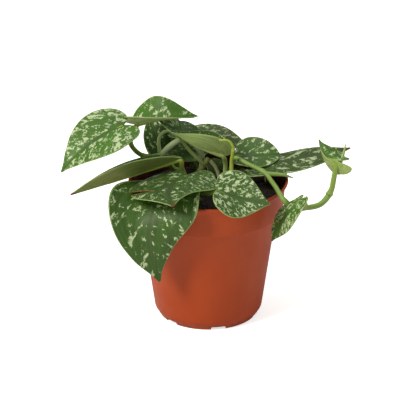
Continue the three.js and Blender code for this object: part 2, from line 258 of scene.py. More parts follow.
def leafTopMaterial():
    # tone holds how fresh, how silvery and how brown the blade is, under how torn it is and its splash size
    material, tree, shader = newMaterial(
        "leafTop", Roughness=0.5, IOR=1.4, Coat_Weight=0.04, Coat_Roughness=0.4)
    where, blade = objectPlace(tree), attribute(tree, "blade")
    fresh, silver, brown = splitVector(tree, attribute(tree, "tone"))
    _, torn, grain = splitVector(tree, attribute(tree, "under"))
    spots = placeGroup(tree, splash, {"Flat": attribute(tree, "flat"), "Amount": silver, "Size": grain})
    lines = placeGroup(tree, veins, {"Blade": blade, "Wander": where})
    cloudy = placeGroup(tree, mottle, {"Vector": where, "Cloud Scale": 70, "Grain Scale": 1800})
    green = blended(tree, fresh, tint(leafLook["dark"]), tint(leafLook["fresh"]))
    green = laid(tree, green, leafLook["cloud"], cloudy["Cloud"], 0.4)
    green = laid(tree, green, leafLook["streak"], lines["Streaks"], 0.3)
    green = laid(tree, green, leafLook["band"], lines["Band"], 0.3)
    green = laid(tree, green, leafLook["vein"], lines["Side Veins"], 0.07)
    green = laid(tree, green, leafLook["midrib"], lines["Midrib"], 0.4)
    green = laid(tree, green, leafLook["halo"], spots["Halo"], 0.25)
    pale = laid(tree, tint(leafLook["silver"]), leafLook["silverGrain"], cloudy["Grain"], 0.5)
    colour = blended(tree, times(tree, spots["Splash"], 0.92), green, pale)
    stain = between(tree, noiseOf(tree, where, 120, 4, 0.6), 0.38, 0.6)
    colour = laid(tree, colour, leafLook["stain"], times(tree, stain, brown, clamp=True))
    colour = laid(tree, colour, leafLook["edge"], lines["Edge"], 0.55)
    colour = laid(tree, colour, leafLook["dry"], lines["Dry"])
    colour = laid(tree, colour, leafLook["torn"], between(tree, torn, 0.2, 0.8))
    tree.links.new(colour, shader.inputs["Base Color"])
    rough = plus(tree, 0.46, times(tree, cloudy["Grain"], 0.16))
    rough = minus(tree, rough, times(tree, spots["Splash"], 0.06))
    tree.links.new(rough, shader.inputs["Roughness"])
    height = minus(tree, times(tree, cloudy["Grain"], 0.25), times(tree, lines["Side Veins"], 0.5))
    height = minus(tree, height, times(tree, lines["Midrib"], 1.2))
    height = plus(tree, height, times(tree, spots["Splash"], 0.15))
    addBump(tree, shader, height, 0.5, leafLook["relief"] * mm)
    return material


def leafUnderMaterial():
    material, tree, shader = newMaterial("leafUnder", Roughness=0.55, IOR=1.4)
    where, blade = objectPlace(tree), attribute(tree, "blade")
    olive = splitVector(tree, attribute(tree, "under"))[0]
    lines = placeGroup(tree, veins, {"Blade": blade, "Wander": where})
    cloudy = placeGroup(tree, mottle, {"Vector": where, "Cloud Scale": 90, "Grain Scale": 1500})
    share, side, _ = splitVector(tree, blade)
    lengthwise = joinVector(tree, times(tree, share, 2.5), times(tree, side, 16), olive)
    fibre = noiseOf(tree, lengthwise, 1.6, 3)
    colour = blended(tree, olive, tint(leafLook["under"]), tint(leafLook["underOlive"]))
    darker = between(tree, fibre, 0.4, 0.65, 0.0, 0.4)
    colour = laid(tree, colour, leafLook["underVein"], darker, way="MULTIPLY")
    colour = laid(tree, colour, leafLook["underCloud"], cloudy["Cloud"], 0.18)
    colour = laid(tree, colour, leafLook["underMidrib"], lines["Midrib"], 0.5)
    colour = laid(tree, colour, leafLook["edge"], lines["Edge"], 0.6)
    colour = laid(tree, colour, leafLook["dry"], lines["Dry"])
    tree.links.new(colour, shader.inputs["Base Color"])
    height = plus(tree, times(tree, lines["Side Veins"], 0.6), times(tree, fibre, 0.5))
    addBump(tree, shader, height, 0.5, leafLook["relief"] * mm)
    return material


def leafEdgeMaterial():
    material, tree, shader = newMaterial("leafEdge", Roughness=0.5)
    where = objectPlace(tree)
    lines = placeGroup(tree, veins, {"Blade": attribute(tree, "blade"), "Wander": where})
    cloudy = placeGroup(tree, mottle, {"Vector": where, "Cloud Scale": 160, "Grain Scale": 1200})
    colour = blended(tree, cloudy["Cloud"], tint(leafLook["edge"]), tint(leafLook["edgeCloud"]))
    colour = laid(tree, colour, leafLook["dry"], lines["Dry"])
    colour = laid(tree, colour, leafLook["edgeTorn"], splitVector(tree, attribute(tree, "under"))[1])
    tree.links.new(colour, shader.inputs["Base Color"])
    return material


stemLook = {
    "green": "#6f9434", "pale": "#c3d2a2", "yellow": "#c2d454", "brown": "#5b4a2a", "fleck": "#41602a",
    "streak": "#557a30", "cloud": "#8fae5a", "relief": 0.3, "skinPitch": 0.035,
}


def stemMaterial(name, roughness, dry=0.0):
    # tone holds how pale, how yellow and how brown the piece is; skin goes round and along it
    material, tree, shader = newMaterial(name, Roughness=roughness, IOR=1.42)
    where, skin = objectPlace(tree), attribute(tree, "skin")
    pale, yellow, brown = splitVector(tree, attribute(tree, "tone"))
    cloudy = placeGroup(tree, mottle, {"Vector": where, "Cloud Scale": 110, "Grain Scale": 1600})
    streaks = noiseOf(tree, skin, 3.2, 3, 0.6)
    flecks = between(tree, noiseOf(tree, skin, 9, 2, 0.5), 0.6, 0.7)
    colour = blended(tree, pale, tint(stemLook["green"]), tint(stemLook["pale"]))
    colour = laid(tree, colour, stemLook["yellow"], yellow)
    darker = between(tree, streaks, 0.35, 0.65, 0.0, 0.35)
    colour = laid(tree, colour, stemLook["streak"], darker, way="MULTIPLY")
    colour = laid(tree, colour, stemLook["cloud"], cloudy["Cloud"], 0.2)
    colour = laid(tree, colour, stemLook["fleck"], flecks, 0.3)
    browned = times(tree, plus(tree, streaks, 0.45 + dry), brown, clamp=True)
    colour = laid(tree, colour, stemLook["brown"], browned)
    tree.links.new(colour, shader.inputs["Base Color"])
    height = plus(tree, streaks, times(tree, cloudy["Grain"], 0.25))
    addBump(tree, shader, height, 0.45 + dry, stemLook["relief"] * mm)
    return material


pot = {
    "height": 93.8, "lipRadius": 52, "lipHeight": 5, "bandTop": 49.8, "bandBottom": 48.7,
    "bandHeight": 20.8, "bodyTop": 45.1, "bodyBase": 35, "chamfer": 5, "foot": 32.4, "footWidth": 2.4,
    "footDepth": 3, "pad": 6, "wall": 1.3, "steps": 180, "drains": 6, "drainTurn": 12, "notchDepth": 14,
    "notchWidth": 10, "notchHeight": 2.3, "notchRounding": 0.7, "holeRadius": 3.5, "holeInset": 8,
    "sharpAngle": 38,
}

# the painted shade inside the wall, laid with a film of peat, starts at its foot height and fades out over
# its top pair; dust ends at dustTop, in millimetres
potLook = {
    "clay": "#b04417", "worn": "#b95328", "deep": "#9c3812", "dust": "#5a3a28", "filmAndShade": "#2c170e",
    "filmShadeFoot": 78, "filmShadeTop": (90.5, 93.2), "dustTop": 8, "relief": 0.12,
}


def potMaterial():
    material, tree, shader = newMaterial("potPlastic", Roughness=0.5, IOR=1.45, Specular_IOR_Level=0.32)
    where = objectPlace(tree)
    x, y, z = splitVector(tree, where)
    cloudy = placeGroup(tree, mottle, {"Vector": where, "Cloud Scale": 38, "Grain Scale": 1300})
    colour = laid(tree, tint(potLook["clay"]), potLook["deep"], cloudy["Cloud"], 0.3)
    colour = laid(tree, colour, potLook["worn"], cloudy["Grain"], 0.18)
    # how far a point is outside the middle of the collar's wall, which flares under the lip
    radius = maths(tree, "SQRT", plus(tree, times(tree, x, x), times(tree, y, y)))
    flare = maths(tree, "MAXIMUM", minus(tree, z, (pot["height"] - pot["lipHeight"]) * mm), 0.0)
    middle = plus(tree, maths(tree, "MULTIPLY_ADD", z, 0.07, 43 * mm), times(tree, flare, 0.55))
    wall = minus(tree, radius, middle)
    # the inside wall is painted dark, partly a film of dried peat and partly painted shade, and the foot
    # carries a little dust
    filmShadeFoot = potLook["filmShadeFoot"] * mm
    filmShadeFade, filmShadeEnd = (height * mm for height in potLook["filmShadeTop"])
    inner = between(tree, wall, -0.3 * mm, 0.3 * mm, 1.0, 0.0)
    inner = times(tree, inner, between(tree, z, filmShadeFoot, filmShadeFoot + 2 * mm))
    inner = times(tree, inner, between(tree, z, filmShadeFade, filmShadeEnd, 1.0, 0.15))
    patchy = between(tree, noiseOf(tree, where, 130, 3), 0.3, 0.6, 0.7, 0.97)
    # lays the dark inside colour: painted shade together with a film of peat
    colour = laid(tree, colour, potLook["filmAndShade"], times(tree, inner, patchy, clamp=True))
    low = between(tree, z, 0.0, potLook["dustTop"] * mm, 0.5, 0.0)
    patchy = between(tree, noiseOf(tree, where, 240, 3), 0.42, 0.62)
    colour = laid(tree, colour, potLook["dust"], times(tree, low, patchy))
    tree.links.new(colour, shader.inputs["Base Color"])
    tree.links.new(between(tree, cloudy["Cloud"], 0.0, 1.0, 0.44, 0.54), shader.inputs["Roughness"])
    rings = noiseOf(tree, joinVector(tree, 0.0, 0.0, z), 700, 2)
    height = plus(tree, cloudy["Grain"], times(tree, rings, 0.3))
    addBump(tree, shader, height, 0.25, potLook["relief"] * mm)
    return material


soilLook = {
    "bed": ("#0f0905", "#20130b"), "crumbs": ("#170e08", "#352416"), "speck": "#6d5136", "relief": 0.5,
}


def soilMaterial(name, dark, light):
    material, tree, shader = newMaterial(name, Roughness=0.92)
    where = objectPlace(tree)
    cloudy = placeGroup(tree, mottle, {"Vector": where, "Cloud Scale": 260, "Grain Scale": 2200})
    colour = blended(tree, cloudy["Cloud"], tint(dark), tint(light))
    specks = between(tree, noiseOf(tree, where, 900, 2, 0.6), 0.66, 0.72)
    colour = laid(tree, colour, soilLook["speck"], specks, 0.5)
    tree.links.new(colour, shader.inputs["Base Color"])
    addBump(tree, shader, plus(tree, cloudy["Grain"], cloudy["Cloud"]), 0.8, soilLook["relief"] * mm)
    return material


leafTop, leafUnder, leafEdge = leafTopMaterial(), leafUnderMaterial(), leafEdgeMaterial()
stemSkin = stemMaterial("stemSkin", 0.45)
youngSkin = stemMaterial("youngSkin", 0.4)
drySkin = stemMaterial("drySkin", 0.8, 0.4)
potPlastic = potMaterial()
peat = soilMaterial("peat", *soilLook["bed"])
peatBits = soilMaterial("peatBits", *soilLook["crumbs"])
print("finishes made")


def insideRadius(z):
    # the inner radius of the wall, in the body and in the collar
    bandZ = pot["height"] - pot["bandHeight"]
    low, high = pot["footDepth"] + pot["wall"], pot["height"] - pot["lipHeight"]
    if z > bandZ:
        share = (z - bandZ) / (high - bandZ)
        return pot["bandBottom"] + (pot["bandTop"] - pot["bandBottom"]) * share - pot["wall"]
    return pot["bodyBase"] + (pot["bodyTop"] - pot["bodyBase"]) * (z - low) / (bandZ - low) - pot["wall"]


def spun(bm, profile, steps):
    # turns a profile of radius and height once round Z
    verts = [bm.verts.new((r * mm, 0, z * mm)) for r, z in profile]
    edges = [bm.edges.new(pair) for pair in zip(verts, verts[1:])]
    bmesh.ops.spin(bm, geom=verts + edges, axis=(0, 0, 1), cent=(0, 0, 0), angle=2 * math.pi, steps=steps,
                   use_merge=True)
    bmesh.ops.remove_doubles(bm, verts=bm.verts[:], dist=0.002 * mm)
    bmesh.ops.recalc_face_normals(bm, faces=bm.faces[:])


def cutAway(piece, cutter):
    # takes the cutter out of the piece and removes it
    change = piece.modifiers.new("cut", "BOOLEAN")
    change.object, change.operation, change.solver = cutter, "DIFFERENCE", "EXACT"
    bpy.context.view_layer.update()
    done = bpy.data.meshes.new_from_object(piece.evaluated_get(bpy.context.evaluated_depsgraph_get()))
    piece.modifiers.clear()
    old = piece.data
    piece.data = done
    bpy.data.meshes.remove(old)
    bpy.data.objects.remove(cutter)


def potProfile():
    # radius and height from the middle of the underside, up the outside, over the lip and down the inside
    high, wall, foot, pad, lip = pot["height"], pot["wall"], pot["foot"], pot["pad"], pot["lipRadius"]
    bandZ, lipZ, floorZ = high - pot["bandHeight"], high - pot["lipHeight"], pot["footDepth"]
    footIn = foot - pot["footWidth"]
    base, top, chamfer = pot["bodyBase"], pot["bodyTop"], pot["chamfer"]
    bandBottom, bandTop = pot["bandBottom"], pot["bandTop"]
    underside = [
        (0, 0), (pad - 0.4, 0), (pad, 0.4), (pad + 0.2, floorZ), (footIn - 0.3, floorZ),
        (footIn, floorZ - 0.4), (footIn + 0.1, 0.4), (footIn + 0.5, 0), (foot - 0.6, 0),
        (foot - 0.1, 0.5), (foot + 0.6, 1.6)]
    body = [
        (base - 0.5, chamfer - 0.6), (base, chamfer), (base + 0.35, chamfer + 1.2), (40, 38.5),
        (top - 0.15, bandZ - 0.9), (top + 0.5, bandZ - 0.15)]
    collar = [
        (bandBottom - 0.7, bandZ), (bandBottom - 0.1, bandZ + 0.35), (bandBottom, bandZ + 1), (49.25, 81),
        (bandTop, lipZ - 0.6), (bandTop + 0.5, lipZ + 0.8)]
    rim = [
        (lip - 0.8, high - 2.6), (lip - 0.15, high - 1.5), (lip, high - 0.9), (lip - 0.2, high - 0.25),
        (lip - 0.6, high), (lip - wall + 0.2, high), (lip - wall - 0.1, high - 0.4),
        (lip - wall - 0.7, high - 2.4)]
    inside = [
        (insideRadius(lipZ), lipZ - 0.4), (insideRadius(82), 82), (insideRadius(bandZ + 2), bandZ + wall),
        (insideRadius(bandZ), bandZ + wall), (insideRadius(30), 30), (insideRadius(6), 5.6),
        (insideRadius(5) - 1, floorZ + wall), (0, floorZ + wall)]
    return underside + body + collar + rim + inside


def addDrain(cutters, turn):
    # one notch through the foot ring and one hole through the floor
    spin = Matrix.Rotation(turn, 4, "Z")
    deep, wide, high = pot["notchDepth"] * mm, pot["notchWidth"] * mm, 2 * pot["notchHeight"] * mm
    notch = spin @ Matrix.Translation((pot["foot"] * mm, 0, 0)) @ Matrix.Diagonal((deep, wide, high, 1))
    made = bmesh.ops.create_cube(cutters, size=1, matrix=notch)
    around = {e for v in made["verts"] for e in v.link_edges}
    tops = [e for e in around if all(v.co.z > 0 for v in e.verts)]
    bmesh.ops.bevel(cutters, geom=tops, offset=pot["notchRounding"] * mm, segments=3, profile=0.5,
                    affect="EDGES", material=-1)
    hole = spin @ Matrix.Translation(((pot["foot"] - pot["holeInset"]) * mm, 0, 0))
    bmesh.ops.create_cone(cutters, cap_ends=True, segments=28, radius1=pot["holeRadius"] * mm,
                          radius2=pot["holeRadius"] * mm, depth=16 * mm, matrix=hole)


def makePot():
    bm = bmesh.new()
    spun(bm, potProfile(), pot["steps"])
    body = finishPiece(bm, "pot_shell", [potPlastic], ["nursery_pot"])
    cutters = bmesh.new()
    for i in range(pot["drains"]):
        addDrain(cutters, math.radians(pot["drainTurn"] - 90 + i * 360 / pot["drains"]))
    mesh = bpy.data.meshes.new("cutters")
    cutters.to_mesh(mesh)
    cutters.free()
    cutter = bpy.data.objects.new("cutters", mesh)
    bpy.context.collection.objects.link(cutter)
    cutAway(body, cutter)
    body.data.shade_smooth()
    body.data.set_sharp_from_angle(angle=math.radians(pot["sharpAngle"]))


makePot()
print("pot turned")


# hummocks are pairs of noise scale and weight; rim is where the bed starts to dip, how soon and how deep
mix = {
    "level": 83.9, "depth": 4, "clearance": 0.15, "rings": 44, "steps": 150, "humps": 1.3, "sink": 0.3,
    "hummocks": ((0.09, 0.7), (0.28, 0.35), (0.9, 0.18)), "rim": (40, 8, 0.25), "seed": 7,
    "crumbs": 900, "crumbSize": (0.35, 1.15), "crumbRoughness": 0.22,
    "fibres": 90, "fibreLength": (2.5, 6.5), "fibreRadius": (0.22, 0.1),
}


def soilHeight(x, y):
    place = Vector((x, y, 3.1))
    low = sum(noise.noise(place * scale) * weight for scale, weight in mix["hummocks"])
    start, width, dip = mix["rim"]
    edge = max(0.0, (math.hypot(x, y) - start) / width)
    return mix["level"] + mix["humps"] * (low - dip * edge ** 2) - mix["sink"]


def scattered(dice, reach):
    # a random spot within reach of the middle, even over the area
    out, turn = reach * math.sqrt(dice.random()), dice.uniform(0, 2 * math.pi)
    return out * math.cos(turn), out * math.sin(turn)


def addCrumb(bm, dice, reach):
    x, y = scattered(dice, reach)
    least, more = mix["crumbSize"]
    size = least + more * dice.random() ** 3
    spin = Matrix.Rotation(
        dice.uniform(0, 6.28), 4, Vector((dice.random(), dice.random(), dice.random() + 0.01)))
    shape = Matrix.Diagonal(
        (size * mm, size * dice.uniform(0.5, 0.9) * mm, size * dice.uniform(0.4, 0.8) * mm, 1))
    place = Matrix.Translation((x * mm, y * mm, (soilHeight(x, y) + 0.15 * size) * mm))
    made = bmesh.ops.create_icosphere(bm, subdivisions=1, radius=1, matrix=place @ spin @ shape)
    for vert in made["verts"]:
        vert.co += noise.noise_vector(vert.co / (0.9 * mm)) * size * mix["crumbRoughness"] * mm


def addFibre(bm, dice, reach):
    x, y = scattered(dice, reach)
    spin = Matrix.Rotation(dice.uniform(0, 6.28), 4, "Z")
    lie = spin @ Matrix.Rotation(math.radians(dice.uniform(72, 96)), 4, "Y")
    place = Matrix.Translation((x * mm, y * mm, (soilHeight(x, y) + 0.5) * mm))
    thick, thin = mix["fibreRadius"]
    bmesh.ops.create_cone(bm, cap_ends=True, segments=5, radius1=thick * mm, radius2=thin * mm,
                          depth=dice.uniform(*mix["fibreLength"]) * mm, matrix=place @ lie)


def makeSoil():
    level, base = mix["level"], mix["level"] - mix["depth"]
    bm = bmesh.new()
    reach = insideRadius(level) - mix["clearance"]
    rings = [(reach * i / mix["rings"], level) for i in range(mix["rings"] + 1)]
    spun(bm, rings + [(reach, base), (0, base)], mix["steps"])
    for vert in bm.verts:
        if vert.co.z > (level - 1) * mm:
            vert.co.z = soilHeight(vert.co.x / mm, vert.co.y / mm) * mm
    finishPiece(bm, "peat_bed", [peat], ["potting_mix"])
    dice = random.Random(mix["seed"])
    noise.seed_set(mix["seed"])  # the crumbs' roughness draws on this
    bm = bmesh.new()
    for _ in range(mix["crumbs"]):
        addCrumb(bm, dice, reach - 1.6)
    for _ in range(mix["fibres"]):
        addFibre(bm, dice, reach - 4)
    finishPiece(bm, "peat_crumbs", [peatBits])


makeSoil()
print("potting mix filled")


def softPath(points, spacing):
    # an evenly stepped line through the points, in millimetres, and its length
    fine = 24  # steps between two points
    points = [Vector(p) for p in points]
    points = [2 * points[0] - points[1]] + points + [2 * points[-1] - points[-2]]
    line = []
    for p0, p1, p2, p3 in zip(points, points[1:], points[2:], points[3:]):
        knots = [0.0]
        for a, b in ((p0, p1), (p1, p2), (p2, p3)):
            knots.append(knots[-1] + max((b - a).length, 1e-4) ** 0.5)
        t0, t1, t2, t3 = knots
        for i in range(fine):
            t = t1 + (t2 - t1) * i / fine
            a1 = p0.lerp(p1, (t - t0) / (t1 - t0))
            a2 = p1.lerp(p2, (t - t1) / (t2 - t1))
            a3 = p2.lerp(p3, (t - t2) / (t3 - t2))
            b1, b2 = a1.lerp(a2, (t - t0) / (t2 - t0)), a2.lerp(a3, (t - t1) / (t3 - t1))
            line.append(b1.lerp(b2, (t - t1) / (t2 - t1)))
    line.append(points[-2])
    lengths = [0.0]
    for a, b in zip(line, line[1:]):
        lengths.append(lengths[-1] + (b - a).length)
    count = max(4, round(lengths[-1] / spacing))
    steps, at = [], 0
    for i in range(count + 1):
        want = lengths[-1] * i / count
        while at < len(line) - 2 and lengths[at + 1] < want:
            at += 1
        gap = max(lengths[at + 1] - lengths[at], 1e-6)
        steps.append(line[at].lerp(line[at + 1], min(1.0, (want - lengths[at]) / gap)))
    return steps, lengths[-1]


def nearestOf(line, co):
    return min((p * mm for p in line), key=lambda p: (p - co).length_squared)


tube = {"sides": 18, "spacing": 0.9, "grooveSide": 0.75, "grooveWidth": 0.4}


def sweep(points, radiusAt, tone, groove=0.0):
    # a tube along the points; radiusAt gives its radius from the share of the length
    line, length = softPath(points, tube["spacing"])
    bm = bmesh.new()
    skin = bm.verts.layers.float_vector.new("skin")
    toneLayer = bm.verts.layers.float_vector.new("tone")
    ring = bmesh.ops.create_circle(bm, cap_ends=True, segments=tube["sides"], radius=1)["verts"]
    edges = list({e for v in ring for e in v.link_edges})
    upward, place = Vector((0.2, -1, 0.3)), Matrix.Identity(4)
    for i, point in enumerate(line):
        ahead = line[min(i + 1, len(line) - 1)] - line[max(i - 1, 0)]
        ahead.normalize()
        upward = (upward - ahead * upward.dot(ahead)).normalized()
        across = ahead.cross(upward)
        share = i / (len(line) - 1)
        radius = radiusAt(share) * mm
        facing = Matrix((upward, across, ahead)).transposed().to_4x4()
        nextPlace = Matrix.Translation(point * mm) @ facing @ Matrix.Diagonal((radius, radius, radius, 1))
        if i:
            grown = bmesh.ops.extrude_edge_only(bm, edges=edges)["geom"]
            ring = [g for g in grown if isinstance(g, bmesh.types.BMVert)]
            edges = [g for g in grown if isinstance(g, bmesh.types.BMEdge)]
            edges = [e for e in edges if all(v in ring for v in e.verts)]
        bmesh.ops.transform(bm, matrix=nextPlace @ place.inverted(), verts=ring)
        back = nextPlace.inverted()
        for vert in ring:
            unit = back @ vert.co
            vert[skin] = (unit.x, unit.y, length * share * stemLook["skinPitch"])
            vert[toneLayer] = tone
        place = nextPlace
    bmesh.ops.edgeloop_fill(bm, edges=edges)
    if groove:
        for vert in bm.verts:
            x, y, _ = vert[skin]
            if x > 0 and abs(y) < tube["grooveSide"]:
                depth = groove * math.exp(-(y / tube["grooveWidth"]) ** 2)
                vert.co -= (vert.co - nearestOf(line, vert.co)) * depth
    bmesh.ops.recalc_face_normals(bm, faces=bm.faces[:])
    return bm


def swollen(start, end, knots=(), width=0.02, swell=0.25):
    # a radius that goes from start to end and swells at its knots
    def radiusAt(share):
        bulge = sum(swell * math.exp(-((share - knot) / width) ** 2) for knot in knots)
        return (start + (end - start) * share ** 2) * (1 + bulge)
    return radiusAt


vines = {
    "vine_left": {
        "path": [
            (-4, 20, 78), (-4, 16, 95), (-5, 13, 106), (-10, 11, 114), (-18, 9, 117), (-25, 8, 113),
            (-31, 8, 107), (-37, 8, 104)],
        "radius": (2.1, 1.9), "knots": (0.55, 0.97), "tone": (1, 0, 0),
    },
    "vine_right": {
        "path": [
            (17, 12, 78), (15, 8, 97), (17, 4, 106.5), (26, -2, 104.5), (37, -9, 101), (40.5, -14, 98),
            (43.5, -24, 97.3), (48.8, -33, 92), (56, -26, 84), (61, -23, 83), (66, -20, 82),
            (72, -17, 82.5), (76, -13, 84.5), (78, -12, 87)],
        "radius": (1.35, 1.95), "knots": (0.42, 0.68, 0.82), "tone": (0.12, 0.1, 0.0),
    },
    "stem_centre": {
        "path": [(-7, 0, 78), (-7, 4, 95), (-3, 7, 100), (0, 11, 103)], "radius": (1.9, 1.7),
        "knots": (0.9,), "tone": (0, 0, 0.75),
    },
    "stem_back": {
        "path": [(-6, 30, 78), (-7, 30, 86), (-10, 32, 92), (-14, 32, 94)], "radius": (1.9, 1.8),
        "knots": (0.9,), "tone": (0, 0, 0.4),
    },
}

for name, vine in vines.items():
    bm = sweep(vine["path"], swollen(*vine["radius"], vine["knots"]), vine["tone"])
    finishPiece(bm, name + "_skin", [stemSkin], [name])
print("vines grown")


# half outlines as shares of the length and of half the width, from the notch round one side to the tip
outlines = {
    "heart": [
        (-0.06, 0.08), (-0.13, 0.3), (-0.08, 0.66), (0.1, 0.93), (0.32, 1), (0.56, 0.8), (0.78, 0.42),
        (0.92, 0.14), (1, 0.02)],
    "round": [
        (-0.05, 0.08), (-0.12, 0.36), (-0.04, 0.76), (0.18, 1), (0.45, 0.99), (0.7, 0.78), (0.88, 0.45),
        (0.97, 0.16), (1, 0.02)],
    "lance": [
        (0, 0.05), (0.07, 0.36), (0.2, 0.78), (0.4, 1), (0.6, 0.88), (0.8, 0.5), (0.93, 0.17),
        (1, 0.02)],
}

